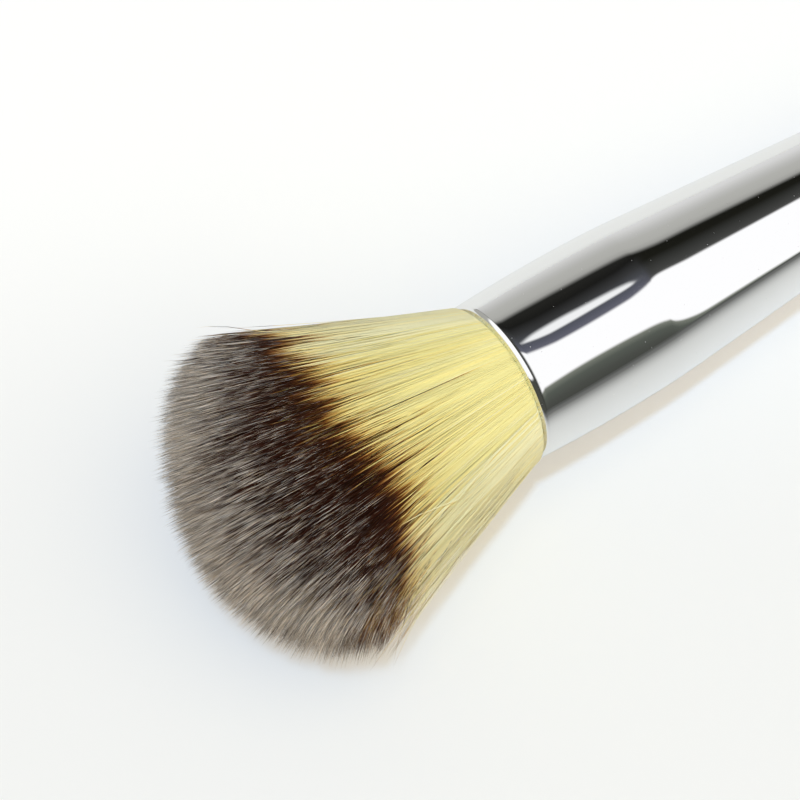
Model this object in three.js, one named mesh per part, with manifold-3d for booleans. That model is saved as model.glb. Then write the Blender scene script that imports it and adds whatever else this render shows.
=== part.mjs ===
// Double-ended makeup brush: a fanned powder head and a small detail head glued to one turned handle.
// Millimetres, +Z up. The brush lies on its side on z = 0 with the powder head towards -X.
// Each head is drawn along its own axis: the ferrule's mouth is at 0, the fibres fan out towards
// negative values and the ferrule's tail runs towards positive ones.

import * as THREE from 'three';
import { mergeVertices } from 'three/addons/utils/BufferGeometryUtils.js';
import Module from 'manifold-3d';

const wasm = await Module();
wasm.setup();

// Sizes that the whole brush shares
const fitGap = 0.2;
const edgeBreak = 0.35;
const roundSegments = 36;
const handleLength = 50;

// Powder head
const powder = {
  name: 'powder',
  mouthRadius: 10.6,
  lipRadius: 0.65,
  hemLength: 2.5,
  barrelSwell: 0.5,
  barrelEndSwell: 0.22,
  barrelLength: 19.8,
  shoulderLength: 6,
  shoulderDrop: 0.13,
  ferruleLength: 56.8,
  tailRadius: 8.3,
  wall: 0.5,
  tenonLength: 18,
  adhesiveLength: 10,
  rootDepth: 12,
  plugGrip: 3,
  plugDish: 1.5,
  bindingTurns: 4,
  flareLength: 28,
  flareBow: 0.4,
  flareRadius: 21.2,
  domeHeight: 13.4,
  restPress: 0.7,
};

// Detail head
const detail = {
  name: 'detail',
  mouthRadius: 6.0,
  lipRadius: 0.5,
  hemLength: 1.8,
  barrelSwell: 0.25,
  barrelEndSwell: 0.1,
  barrelLength: 10,
  shoulderLength: 3,
  shoulderDrop: 0.1,
  ferruleLength: 26,
  tailRadius: 5.2,
  wall: 0.4,
  tenonLength: 11,
  adhesiveLength: 4,
  rootDepth: 7,
  plugGrip: 1.6,
  plugDish: 0.8,
  bindingTurns: 3,
  flareLength: 6.7,
  flareBow: 0.2,
  flareRadius: 7.25,
  domeHeight: 10.6,
  restPress: 0.35,
};

// Shape of the dome's section: 2 and 2 would be a plain ellipse
const domeCrown = 1.95;
const domeSide = 1.62;

// Angle through which the fibres bend out over the lip, and steps along curved outlines
const rollOut = THREE.MathUtils.degToRad(55);
const curveSteps = 6;
const hiddenCurveSteps = 3;
const domeSteps = 9;
const threadSides = 6;
const threadStepsPerTurn = 24;
const threadSpacing = 1.15;

// Sizes of a head that follow from its driving dimensions
function fitHead(head) {
  const boreRadius = head.mouthRadius - head.wall;
  const lipCentre = head.mouthRadius - head.lipRadius;
  const rootRadius = lipCentre - head.lipRadius - fitGap;
  const threadDiameter = boreRadius - rootRadius - 2 * fitGap;
  const plugStart = head.rootDepth - head.plugGrip;
  const shoulderEnd = head.barrelLength + head.shoulderLength;
  const shoulderRadius = head.mouthRadius - head.shoulderDrop;
  const tenonRadius = head.tailRadius - head.wall - fitGap;
  const tenonEnd = head.ferruleLength - head.tenonLength;
  return {
    boreRadius, lipCentre, rootRadius, threadDiameter, plugStart,
    shoulderEnd, shoulderRadius, tenonRadius, tenonEnd,
  };
}

// Outer radius of the ferrule's straight taper at a place along the head's axis
function taperRadius(head, fit, place) {
  const share = (place - fit.shoulderEnd) / (head.ferruleLength - fit.shoulderEnd);
  return THREE.MathUtils.lerp(fit.shoulderRadius, head.tailRadius, share);
}

// A solid of revolution: the outline holds radius and place along the axis, and the axis becomes X
function revolve(outline) {
  const solid = new THREE.LatheGeometry(outline, roundSegments);
  solid.rotateZ(-Math.PI / 2);
  return solid;
}

// Run of the ferrule's wall from mouth to tail: a slightly swelled barrel, a blended shoulder and a taper
function ferruleRun(head, fit) {
  const swellEnd = head.mouthRadius + head.barrelEndSwell;
  const path = new THREE.Path();
  path.moveTo(head.mouthRadius, head.lipRadius);
  path.quadraticCurveTo(
    head.mouthRadius + head.barrelSwell, head.barrelLength / 2,
    swellEnd, head.barrelLength,
  );
  path.quadraticCurveTo(
    swellEnd - head.shoulderDrop / 2, head.barrelLength + head.shoulderLength / 3,
    fit.shoulderRadius, fit.shoulderEnd,
  );
  path.lineTo(head.tailRadius, head.ferruleLength);
  return path;
}

// Drawn metal ferrule: an even wall, with the mouth rolled inwards into a hem
function ferruleGeometry(head, fit) {
  const run = ferruleRun(head, fit);
  const outside = run.getPoints(curveSteps);
  const hemStep = head.hemLength + head.wall;
  const inside = run.getPoints(hiddenCurveSteps)
    .filter((point) => point.y > hemStep)
    .map((point) => new THREE.Vector2(point.x - head.wall, point.y));
  const nose = new THREE.Path();
  nose.absarc(fit.lipCentre, head.lipRadius, head.lipRadius, Math.PI, 2 * Math.PI, false);
  const lip = nose.getPoints(curveSteps).slice(0, -1);
  const hem = [
    new THREE.Vector2(fit.boreRadius, hemStep),
    new THREE.Vector2(fit.lipCentre - head.lipRadius, head.hemLength),
  ];
  const outline = [...lip, ...outside, ...inside.reverse(), ...hem];
  outline.push(outline[0].clone());
  return revolve(outline);
}

// Fibre tuft: a bound root, fibres that bend out over the lip and fan, and a crown where they lie close
function tuftGeometry(head, fit) {
  const bend = head.lipRadius + fitGap;
  const root = new THREE.Path();
  root.moveTo(0, head.rootDepth);
  root.lineTo(fit.rootRadius, head.rootDepth);
  root.lineTo(fit.rootRadius, head.lipRadius);
  root.absarc(fit.lipCentre, head.lipRadius, bend, Math.PI, Math.PI + rollOut, false);
  const exit = root.currentPoint.clone();
  const widest = new THREE.Vector2(head.flareRadius, -head.flareLength);
  const bowed = exit.clone().lerp(widest, 1 / 3);
  bowed.x += head.flareBow;
  root.quadraticCurveTo(bowed.x, bowed.y, widest.x, widest.y);
  const outline = root.getPoints(curveSteps);
  for (let step = 1; step <= domeSteps; step += 1) {
    const rise = Math.sin((step / domeSteps) * Math.PI / 2);
    const radius = head.flareRadius * (1 - rise ** domeCrown) ** (1 / domeSide);
    outline.push(new THREE.Vector2(radius, -head.flareLength - rise * head.domeHeight));
  }
  return revolve(outline.reverse());
}

// Resin plug: a cup round the end of the fibres that fills the barrel behind them, with a dished back
function plugGeometry(head, fit) {
  const outer = fit.boreRadius - fitGap;
  const inner = fit.rootRadius + fitGap;
  const path = new THREE.Path();
  path.moveTo(0, head.rootDepth + fitGap);
  path.lineTo(inner, head.rootDepth + fitGap);
  path.lineTo(inner, fit.plugStart);
  path.lineTo(outer, fit.plugStart);
  path.lineTo(outer, head.barrelLength);
  path.quadraticCurveTo(outer / 2, head.barrelLength - head.plugDish, 0, head.barrelLength - head.plugDish);
  return revolve(path.getPoints(hiddenCurveSteps));
}

// Course of the binding thread: close turns that end just in front of the resin
class ThreadCourse extends THREE.Curve {
  constructor(radius, turns, pitch, end) {
    super();
    Object.assign(this, { radius, turns, pitch, end });
  }

  getPoint(share, target = new THREE.Vector3()) {
    const angle = share * this.turns * 2 * Math.PI;
    const place = this.end - (1 - share) * this.turns * this.pitch;
    return target.set(place, this.radius * Math.cos(angle), this.radius * Math.sin(angle));
  }
}

// Binding thread wound round the root of the fibres
function bindingGeometry(head, fit) {
  const half = fit.threadDiameter / 2;
  const section = new THREE.Shape();
  for (let side = 0; side < threadSides; side += 1) {
    const angle = (side / threadSides) * 2 * Math.PI;
    const corner = new THREE.Vector2(half * Math.cos(angle), half * Math.sin(angle));
    if (side === 0) {
      section.moveTo(corner.x, corner.y);
    } else {
      section.lineTo(corner.x, corner.y);
    }
  }
  section.closePath();
  const course = new ThreadCourse(
    fit.rootRadius + fitGap + half,
    head.bindingTurns,
    fit.threadDiameter * threadSpacing,
    fit.plugStart - fitGap - half,
  );
  const steps = head.bindingTurns * threadStepsPerTurn;
  return new THREE.ExtrudeGeometry(section, { steps, extrudePath: course, bevelEnabled: false });
}

// Adhesive in the wedge-shaped gap between the straight tenon and the tapered ferrule
function adhesiveGeometry(head, fit) {
  const start = fit.tenonEnd;
  const end = start + head.adhesiveLength;
  const inner = fit.tenonRadius + fitGap;
  const outerAt = (place) => taperRadius(head, fit, place) - head.wall - fitGap;
  const outline = [
    new THREE.Vector2(inner, start),
    new THREE.Vector2(outerAt(start), start),
    new THREE.Vector2(outerAt(end), end),
    new THREE.Vector2(inner, end),
    new THREE.Vector2(inner, start),
  ];
  return revolve(outline);
}

// Turned handle along the brush axis: a tenon at each end and a body that runs on from both ferrules
function handleGeometry(powderFit, detailFit, bodyStart, bodyEnd) {
  const powderEnd = powderFit.tenonEnd;
  const detailEnd = bodyEnd + fitGap + detail.tenonLength;
  const path = new THREE.Path();
  path.moveTo(0, powderEnd);
  path.lineTo(powderFit.tenonRadius - edgeBreak, powderEnd);
  path.lineTo(powderFit.tenonRadius, powderEnd + edgeBreak);
  path.lineTo(powderFit.tenonRadius, bodyStart);
  path.lineTo(powder.tailRadius - edgeBreak, bodyStart);
  path.quadraticCurveTo(powder.tailRadius, bodyStart, powder.tailRadius, bodyStart + edgeBreak);
  const taperLength = powder.ferruleLength - powderFit.shoulderEnd;
  const slope = (powderFit.shoulderRadius - powder.tailRadius) / taperLength;
  const third = handleLength / 3;
  path.bezierCurveTo(
    powder.tailRadius - slope * third, bodyStart + third,
    detail.tailRadius, bodyEnd - third,
    detail.tailRadius, bodyEnd - edgeBreak,
  );
  path.quadraticCurveTo(detail.tailRadius, bodyEnd, detail.tailRadius - edgeBreak, bodyEnd);
  path.lineTo(detailFit.tenonRadius, bodyEnd);
  path.lineTo(detailFit.tenonRadius, detailEnd - edgeBreak);
  path.lineTo(detailFit.tenonRadius - edgeBreak, detailEnd);
  path.lineTo(0, detailEnd);
  return revolve(path.getPoints(curveSteps));
}

// A closed geometry as a solid that can be cut
function toSolid(geometry) {
  const bare = geometry.index ? geometry.clone() : mergeVertices(geometry);
  bare.deleteAttribute('normal');
  bare.deleteAttribute('uv');
  const merged = mergeVertices(bare);
  const corners = merged.index.array;
  const triangles = [];
  for (let at = 0; at < corners.length; at += 3) {
    const [a, b, c] = [corners[at], corners[at + 1], corners[at + 2]];
    if (a !== b && b !== c && c !== a) {
      triangles.push(a, b, c);
    }
  }
  return new wasm.Manifold(new wasm.Mesh({
    numProp: 3,
    vertProperties: new Float32Array(merged.attributes.position.array),
    triVerts: new Uint32Array(triangles),
  }));
}

// A solid as a geometry again
function toGeometry(solid) {
  const mesh = solid.getMesh();
  const geometry = new THREE.BufferGeometry();
  geometry.setAttribute('position', new THREE.BufferAttribute(new Float32Array(mesh.vertProperties), 3));
  geometry.setIndex(new THREE.BufferAttribute(new Uint32Array(mesh.triVerts), 1));
  geometry.computeVertexNormals();
  return geometry;
}

// Soft fibres flatten where the brush lies on the table: the table's block is cut away from the tuft
function pressOnTable(geometry, group, reach) {
  const table = new THREE.BoxGeometry(2 * reach, 2 * reach, reach);
  table.translate(0, 0, -reach / 2);
  table.applyMatrix4(group.matrixWorld.clone().invert());
  return toGeometry(toSolid(geometry).subtract(toSolid(table)));
}

// A named piece with a finish of its own
function piece(name, geometry, color, roughness, metalness) {
  const mesh = new THREE.Mesh(geometry, new THREE.MeshStandardMaterial({ color, roughness, metalness }));
  mesh.name = name;
  return mesh;
}

// All the pieces of one head, in the group that places it on the brush
function fillHead(group, head, fit, reach) {
  const tuft = pressOnTable(tuftGeometry(head, fit), group, reach);
  group.add(
    piece(`${head.name}_tuft`, tuft, 0x7d6652, 0.85, 0),
    piece(`${head.name}_binding`, bindingGeometry(head, fit), 0xe6ddc8, 0.9, 0),
    piece(`${head.name}_plug`, plugGeometry(head, fit), 0xc9a55c, 0.35, 0),
    piece(`${head.name}_ferrule`, ferruleGeometry(head, fit), 0xd9dbdd, 0.08, 1),
    piece(`${head.name}_adhesive`, adhesiveGeometry(head, fit), 0xe8e2cf, 0.5, 0),
  );
}

// Places along the brush axis, from the powder ferrule's mouth
const powderFit = fitHead(powder);
const detailFit = fitHead(detail);
const bodyStart = powder.ferruleLength + fitGap;
const bodyEnd = bodyStart + handleLength;
const detailMouth = bodyEnd + fitGap + detail.ferruleLength;
const powderTuftLength = powder.flareLength + powder.domeHeight;
const detailTuftLength = detail.flareLength + detail.domeHeight;
const brushLength = powderTuftLength + detailMouth + detailTuftLength;

// The brush lies on both tufts, so its axis leans down towards the detail head
const powderRest = powder.flareRadius - powder.restPress;
const detailRest = detail.flareRadius - detail.restPress;
const restSpan = detailMouth + detail.flareLength + powder.flareLength;
const lean = Math.atan((powderRest - detailRest) / restSpan);
const mouthHeight = powderRest - powder.flareLength * Math.tan(lean);

const lyingBrush = new THREE.Group();
lyingBrush.rotation.y = lean;
lyingBrush.position.z = mouthHeight * Math.cos(lean);
const powderHead = new THREE.Group();
const detailHead = new THREE.Group();
detailHead.position.x = detailMouth;
detailHead.rotation.z = Math.PI;
lyingBrush.add(powderHead, detailHead);
lyingBrush.updateMatrixWorld(true);

fillHead(powderHead, powder, powderFit, brushLength);
fillHead(detailHead, detail, detailFit, brushLength);
const handle = handleGeometry(powderFit, detailFit, bodyStart, bodyEnd);
lyingBrush.add(piece('handle', handle, 0xc4c6c9, 0.25, 0.9));

// The origin is under the middle of the brush
const outerBox = new THREE.Box3().setFromObject(lyingBrush, true);
lyingBrush.position.x = -(outerBox.min.x + outerBox.max.x) / 2;

const brush = new THREE.Group();
brush.name = 'double_ended_makeup_brush';
brush.add(lyingBrush);

export default brush;
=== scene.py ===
"""Double-ended makeup brush on a pale table: fanned fibre tufts, mirror ferrules and a silver handle."""

import math

import bpy
import numpy as np
from mathutils import Matrix, Vector
from mathutils.kdtree import KDTree


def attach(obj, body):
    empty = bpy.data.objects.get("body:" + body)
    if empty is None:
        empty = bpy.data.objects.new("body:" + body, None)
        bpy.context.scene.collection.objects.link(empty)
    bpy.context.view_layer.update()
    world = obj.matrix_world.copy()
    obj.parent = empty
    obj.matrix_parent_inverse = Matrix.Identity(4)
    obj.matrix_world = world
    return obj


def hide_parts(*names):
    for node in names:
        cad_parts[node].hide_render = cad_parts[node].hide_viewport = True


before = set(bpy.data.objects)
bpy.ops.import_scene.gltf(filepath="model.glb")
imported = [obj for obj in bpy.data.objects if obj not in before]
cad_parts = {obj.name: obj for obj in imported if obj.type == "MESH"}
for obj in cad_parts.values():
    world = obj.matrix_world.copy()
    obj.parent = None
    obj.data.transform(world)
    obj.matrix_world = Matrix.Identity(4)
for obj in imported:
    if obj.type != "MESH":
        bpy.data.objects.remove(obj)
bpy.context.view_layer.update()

MM = 0.001
BODY = "root"
BAKE_MAP = "OFBake"
ROUND_STEPS = 160
rng = np.random.default_rng(20241)

# Sizes of the two heads in millimetres, measured from the ferrule's mouth, and their numbers of fibres
POWDER = {
    "name": "powder",
    "mouth_radius": 10.6,
    "lip_radius": 0.65,
    "hem_length": 2.5,
    "barrel_swell": 0.5,
    "barrel_end_swell": 0.22,
    "barrel_length": 19.8,
    "shoulder_length": 6.0,
    "shoulder_drop": 0.13,
    "ferrule_length": 56.8,
    "tail_radius": 8.3,
    "wall": 0.5,
    "tenon_length": 18.0,
    "neck_radius": 9.25,
    "flare_start_radius": 10.5,
    "flare_length": 29.6,
    "flare_radius": 21.7,
    "dome_height": 13.8,
    "roll_out_start": -0.5,
    "roll_out_length": 1.2,
    "skin_fibres": 4200,
    "mantle_fibres": 8000,
    "heart_fibres": 15000,
    "clumps": 9000,
    "fibre_radius": 0.062,
    "tip_radius": 0.006,
    "tip_taper": 7.0,
    "pale_tip": 10.5,
    "uneven_tips": 1.3,
    "longest_tip": 0.75,
    "fringe_loft": 0.28,
    "strand_drift": 0.018,
    "wave": 0.13,
    "heart_depth": 12.0,
    "core_sink": 3.2,
    "band_middle": 3.7,
    "band_slant": 3.2,
    "band_least": 1.8,
    "band_sway": 0.25,
    "band_clump_spread": 0.6,
    "band_fibre_spread": 0.8,
    "band_tail": 2.8,
}
DETAIL = {
    "name": "detail",
    "mouth_radius": 6.0,
    "lip_radius": 0.5,
    "hem_length": 1.8,
    "barrel_swell": 0.25,
    "barrel_end_swell": 0.1,
    "barrel_length": 10.0,
    "shoulder_length": 3.0,
    "shoulder_drop": 0.1,
    "ferrule_length": 26.0,
    "tail_radius": 5.2,
    "wall": 0.4,
    "tenon_length": 11.0,
    "neck_radius": 4.95,
    "flare_start_radius": 5.85,
    "flare_length": 7.0,
    "flare_radius": 7.4,
    "dome_height": 11.0,
    "roll_out_start": -0.4,
    "roll_out_length": 1.0,
    "skin_fibres": 1900,
    "mantle_fibres": 1900,
    "heart_fibres": 4600,
    "clumps": 1000,
    "fibre_radius": 0.052,
    "tip_radius": 0.006,
    "tip_taper": 6.0,
    "pale_tip": 5.0,
    "uneven_tips": 0.8,
    "longest_tip": 0.3,
    "fringe_loft": 0.2,
    "strand_drift": 0.014,
    "wave": 0.05,
    "heart_depth": 7.5,
    "core_sink": 3.0,
    "band_middle": 6.0,
    "band_slant": 1.0,
    "band_least": 2.5,
    "band_sway": 0.3,
    "band_clump_spread": 0.4,
    "band_fibre_spread": 0.5,
    "band_tail": 1.2,
}
DOME_CROWN = 1.95
DOME_SIDE = 1.62
CROWN_STEPS = 400
FIT_GAP = 0.2
EDGE_BREAK = 0.35
HANDLE_LENGTH = 50.0

# Steps along the turned outlines, and how they are welded and smoothed
BARREL_STEPS = 24
SHOULDER_STEPS = 16
TAIL_STEPS = 12
LIP_STEPS = 12
EDGE_STEPS = 6
HANDLE_STEPS = 40
WELD_DISTANCE = 1e-7
SMOOTH_ANGLE = 40.0

# Layers of a tuft by share of the fan's radius: heart, mantle, and skin outside
MANTLE_REACH = 0.80
SKIN_REACH = 0.975
MANTLE_START = 1.5
# Shares of a fibre's length and of the roll over the lip at which it has points
LONG_STEPS = (0.0, 0.3, 0.55, 0.76, 0.87, 0.95, 1.0)
SHORT_STEPS = (0.0, 0.35, 0.65, 0.87, 1.0)
NECK_ROOT = 1.2
NECK_STEPS = (0.1, 0.3, 0.5, 0.72)
MOST_FACES = 180000

# Share of the fan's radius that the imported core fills, at shares of the flare's length
CORE_PLACES = (-0.2, 0.05, 0.2, 0.4, 0.65, 0.85)
CORE_SHARES = (0.992, 0.992, 0.988, 0.972, 0.90, 0.80)
# The core starts this far behind the lip, ends its bend this far past it, and stays this far under the crown
CORE_ROOT = 2.0
CORE_BEND = 0.4
CORE_CROWN_GAP = 0.5
# The core is painted darker, as shade in the gaps between fibres: it takes its colour from this much deeper,
# and its tones from this share of the columns
CORE_SHADE = 1.5
CORE_TURN = 0.995
CORE_NECK_POINTS = 15
CORE_FLARE_POINTS = 22
CORE_CROWN_POINTS = 14

# The fan is pressed in on one side, as a soft tuft that has lain on it is: way in degrees, focus and depth
PRESSED_WAY = -23.5
PRESSED_FOCUS = 5.0
PRESSED_SHARE = 0.235
PRESSED_RUN = 0.89
PRESSED_START = 1.7
PRESSED_POWER = 1.2

# How single fibres differ: trimmed tips, waves, stray hairs, thickness and the pull of their clump
TRIM_SHAPE = 1.3
TRIM_MOST = 0.3
STRETCH_RANGE = (0.3, 1.7)
WAVE_PACE = (0.5, 1.6)
WAVE_SHAPE = 1.5
WAVE_SCALE = 0.6
STRAY_SHARE = 0.012
STRAY_GAIN = 6.0
THICKNESS_RANGE = (0.8, 1.2)
TAPER_POWER = 0.85
CLUMP_PULL = (0.2, 0.7)
# Clumps draw together less towards the rim
RIM_EASE_RANGE = (0.8, 1.0)
RIM_EASE = 0.35
# Loose fine hairs of the rim: their share, where they start, how they lift, and how far their pale tip runs
FRINGE_SHARE = 0.10
FRINGE_REACH = 0.93
FRINGE_THICKNESS = 0.5
FRINGE_LIFT = 1.5
FRINGE_PALE = (8.0, 45.0)
# Single light hairs that cross the dark ring: their share, and how far their pale tip runs
LIGHT_SHARE = 0.08
LIGHT_PALE = (3.0, 12.0)
# Fibres come to rest this many metres over the table, least and spread
TABLE_CLEAR = 0.00004
TABLE_CLEAR_SPREAD = 0.00025

# Fibres shade partly as the tuft's own surface, which turns from a little backward to forward
SHARED_SHADE = 0.55
FACING_START = 0.6
FACING_BACK = 0.3
TINY = 1e-6

# Colour bands run back from the fibre tips over this many millimetres
BAND_RANGE = 20.0
BAND_EDGE = 8.6
BAND_EDGE_LEAST = 1.0
DARK_BAND = 6.6
# Bulges of the dark band round the tuft: way in degrees, focus and share of the head's own slant
BAND_BULGES = ((50.0, 14.0, 1.1), (120.0, 14.0, 0.7), (-2.0, 10.0, -0.6))
SWAY_WAVES = ((5, 0.4), (11, 2.1), (19, 4.4))
# The band's edge lies deeper under the skin by these lengths per share of the fan's radius
MANTLE_BAND = 12.0
HEART_BAND = 30.0
# Share of fibres whose dark band ends late
LATE_SHARE = 0.08
# The pale tip is long in the middle of the crown and short at the rim, and differs from clump to clump
PALE_RIM = 0.025
PALE_FALL = 1.8
PALE_LEAST = 0.08
PALE_EASE = 0.35
PALE_SHAPE = 0.4
# Painted sheen: on two sides of the lying tuft, where light grazes the fibres, the pale tips are painted
# longer: way in degrees, focus and gain
TIP_SHEEN_SIDES = ((-8.0, 20.0, 300.0), (160.0, 11.0, 150.0))
TIP_SHEEN_RISE = 4
TIP_SHEEN_MOST = 200.0
# The outermost fibres keep this share of the pale tip, blended in over this range of the fan's radius
SKIN_PALE = 0.3
SKIN_PALE_RANGE = (0.93, 0.985)

# Colour columns, one tone each; those from the sheen column on hold straw painted paler, as sheen
TONE_COLUMNS = 256
SHEEN_COLUMN = 192
# A fibre covers its column by this share to both sides, and this share of fibres has its clump's tone
COLUMN_SPAN = 0.4
CLUMP_TONE_SHARE = 0.8
# Sides where the straw is painted paler, as sheen where light grazes the fibres: way in degrees, focus and
# how many fibres
STRAW_SHEEN_SIDES = ((-5.0, 8.0, 3.0), (150.0, 7.0, 3.0))


# Where the brush lies

def node_points(node):
    """Corner points of a CAD node."""
    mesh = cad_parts[node].data
    points = np.empty(len(mesh.vertices) * 3)
    mesh.vertices.foreach_get("co", points)
    return points.reshape(-1, 3)


def head_matrix(mouth, outward):
    """Head space: X runs out of the mouth towards the fibre tips, Z is as near upward as the lean allows."""
    outward = Vector(outward).normalized()
    side = Vector((0, 0, 1)).cross(outward).normalized()
    upward = outward.cross(side)
    turn = Matrix((outward, side, upward)).transposed().to_4x4()
    return Matrix.Translation(Vector(mouth)) @ turn


def find_heads():
    """Spaces of the two heads, read from where the ferrules lie."""
    ferrule = node_points("powder_ferrule")
    far_ferrule = node_points("detail_ferrule")
    centre = ferrule.mean(axis=0)
    far_centre = far_ferrule.mean(axis=0)
    axis = (far_centre - centre) / np.linalg.norm(far_centre - centre)
    mouth = centre + axis * ((ferrule - centre) @ axis).min()
    far_mouth = far_centre + axis * ((far_ferrule - far_centre) @ axis).max()
    return head_matrix(mouth, -axis), head_matrix(far_mouth, axis)


powder_space, detail_space = find_heads()


# Node trees

def new_material(name):
    material = bpy.data.materials.new(name)
    material.use_nodes = True
    tree = material.node_tree
    shader = tree.nodes["Principled BSDF"]
    return material, tree, shader


def add_node(tree, kind, settings=None, **inputs):
    """A node with its inputs linked or set; i0, i1 and so on stand for inputs by number."""
    node = tree.nodes.new(kind)
    for key, value in (settings or {}).items():
        setattr(node, key, value)
    for key, value in inputs.items():
        socket = node.inputs[int(key[1:])] if key[0] == "i" and key[1:].isdigit() else node.inputs[key]
        if isinstance(value, bpy.types.NodeSocket):
            tree.links.new(value, socket)
        else:
            socket.default_value = value
    return node


def colour_ramp(tree, factor, stops, interpolation="LINEAR"):
    node = tree.nodes.new("ShaderNodeValToRGB")
    ramp = node.color_ramp
    ramp.interpolation = interpolation
    while len(ramp.elements) < len(stops):
        ramp.elements.new(1.0)
    for element, (place, colour) in zip(ramp.elements, stops):
        element.position = place
        element.color = (*colour, 1.0)
    tree.links.new(factor, node.inputs["Fac"])
    return node.outputs["Color"]


def grey(level):
    return (level, level, level)


def math_node(tree, operation, first, second=0.0, third=0.0):
    node = add_node(tree, "ShaderNodeMath", {"operation": operation}, i0=first, i1=second, i2=third)
    return node.outputs[0]


def vector_node(tree, operation, output="Vector", **inputs):
    return add_node(tree, "ShaderNodeVectorMath", {"operation": operation}, **inputs).outputs[output]


def map_range(tree, value, source=(0.0, 1.0), target=(0.0, 1.0), curve="LINEAR"):
    node = add_node(tree, "ShaderNodeMapRange", {"interpolation_type": curve},
                    i0=value, i1=source[0], i2=source[1], i3=target[0], i4=target[1])
    return node.outputs[0]


def smooth_step(tree, value, low, high):
    return map_range(tree, value, (low, high), curve="SMOOTHSTEP")


def mix_colour(tree, factor, below, above):
    return add_node(tree, "ShaderNodeMix", {"data_type": "RGBA"}, i0=factor, i6=below, i7=above).outputs[2]


def mix_shader(tree, factor, below, above):
    return add_node(tree, "ShaderNodeMixShader", None, i0=factor, i1=below.outputs[0], i2=above.outputs[0])


def object_place(tree):
    return add_node(tree, "ShaderNodeTexCoord").outputs["Object"]


def hazy_gloss(tree, place, scale, detail, target):
    """Roughness that drifts between two values over the piece."""
    haze = add_node(tree, "ShaderNodeTexNoise", None, Vector=place, Scale=scale, Detail=detail)
    return map_range(tree, haze.outputs["Fac"], target=target)


def set_inputs(shader, values):
    for key, value in values.items():
        shader.inputs[key].default_value = value


# Finishes

def fibre_material():
    """Soft fibre: colour bands follow the tip distance, and each column of the map is one tone."""
    material, tree, shader = new_material("tricolour_fibre")
    lay = add_node(tree, "ShaderNodeUVMap", {"uv_map": BAKE_MAP}).outputs["UV"]
    parts = add_node(tree, "ShaderNodeSeparateXYZ", None, i0=lay)
    depth = parts.outputs["Y"]
    column = math_node(tree, "FLOOR", math_node(tree, "MULTIPLY", parts.outputs["X"], float(TONE_COLUMNS)))
    chance = add_node(tree, "ShaderNodeTexWhiteNoise", {"noise_dimensions": "1D"}, i1=column)
    chances = add_node(tree, "ShaderNodeSeparateColor", None, i0=chance.outputs["Color"])
    paleness, tip_tone, root_tone = chances.outputs[0], chances.outputs[1], chances.outputs[2]

    shortest_tip, longest_tip = 1.25, 0.55
    tip_gains = (0.12, 1.5)
    root_gains = (0.93, 1.0)
    warm_range, warm_tint = (0.55, 1.0), (1.0, 0.95, 0.82)
    change_start, change_end = 0.30, 0.41

    pale_run = math_node(tree, "POWER", paleness, 2.0)
    stretch = map_range(tree, pale_run, target=(shortest_tip, longest_tip))
    tip_depth = math_node(tree, "MULTIPLY", depth, stretch)
    tip = colour_ramp(tree, tip_depth, [
        (0.000, (0.80, 0.700, 0.605)),
        (0.050, (0.655, 0.560, 0.478)),
        (0.090, (0.41, 0.332, 0.277)),
        (0.125, (0.18, 0.132, 0.110)),
        (0.165, (0.068, 0.028, 0.017)),
        (0.240, (0.038, 0.009, 0.004)),
    ])
    root = colour_ramp(tree, depth, [
        (0.330, (0.042, 0.011, 0.005)),
        (0.370, (0.082, 0.025, 0.008)),
        (0.405, (0.22, 0.075, 0.017)),
        (0.440, (0.50, 0.26, 0.070)),
        (0.485, (0.80, 0.57, 0.18)),
        (0.550, (0.95, 0.785, 0.315)),
        (0.750, (0.965, 0.85, 0.375)),
        (1.000, (0.97, 0.87, 0.395)),
    ])
    # Straw painted paler and less saturated, as sheen on the sides of the tuft
    sheen_straw = colour_ramp(tree, depth, [
        (0.330, (0.042, 0.011, 0.005)),
        (0.370, (0.082, 0.025, 0.008)),
        (0.405, (0.24, 0.090, 0.028)),
        (0.440, (0.53, 0.30, 0.110)),
        (0.485, (0.83, 0.63, 0.28)),
        (0.550, (0.955, 0.84, 0.46)),
        (0.750, (0.97, 0.905, 0.55)),
        (1.000, (0.975, 0.915, 0.58)),
    ])
    is_sheen_straw = math_node(tree, "GREATER_THAN", column, SHEEN_COLUMN - 0.5)
    root = mix_colour(tree, is_sheen_straw, root, sheen_straw)
    warm_share = map_range(tree, root_tone, warm_range)
    warm_root = vector_node(tree, "MULTIPLY", i0=root, i1=warm_tint)
    root = mix_colour(tree, warm_share, root, warm_root)
    tip_gain = map_range(tree, tip_tone, target=tip_gains)
    root_gain = map_range(tree, root_tone, target=root_gains)
    toned_tip = vector_node(tree, "SCALE", i0=tip, i3=tip_gain)
    toned_root = vector_node(tree, "SCALE", i0=root, i3=root_gain)
    change = smooth_step(tree, depth, change_start, change_end)
    both = mix_colour(tree, change, toned_tip, toned_root)
    tree.links.new(both, shader.inputs["Base Color"])
    set_inputs(shader, {
        "Roughness": 0.45,
        "Specular IOR Level": 0.05,
        "Sheen Weight": 0.32,
        "Sheen Roughness": 0.4,
        "Sheen Tint": (1.0, 0.87, 0.76, 1.0),
    })
    return material


def chrome_material():
    """Mirror plating with a faint haze and specks of dust."""
    speck_size, speck_roughness = 0.055, 0.3
    material, tree, shader = new_material("mirror_chrome")
    place = object_place(tree)
    gloss = hazy_gloss(tree, place, scale=220.0, detail=4.0, target=(0.015, 0.06))
    dust = add_node(tree, "ShaderNodeTexVoronoi", None, Vector=place, Scale=900.0)
    speck = math_node(tree, "LESS_THAN", dust.outputs["Distance"], speck_size)
    clouded = math_node(tree, "MULTIPLY_ADD", speck, speck_roughness, gloss)
    tree.links.new(clouded, shader.inputs["Roughness"])
    set_inputs(shader, {"Base Color": (0.90, 0.90, 0.91, 1.0), "Metallic": 1.0})
    return material


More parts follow.
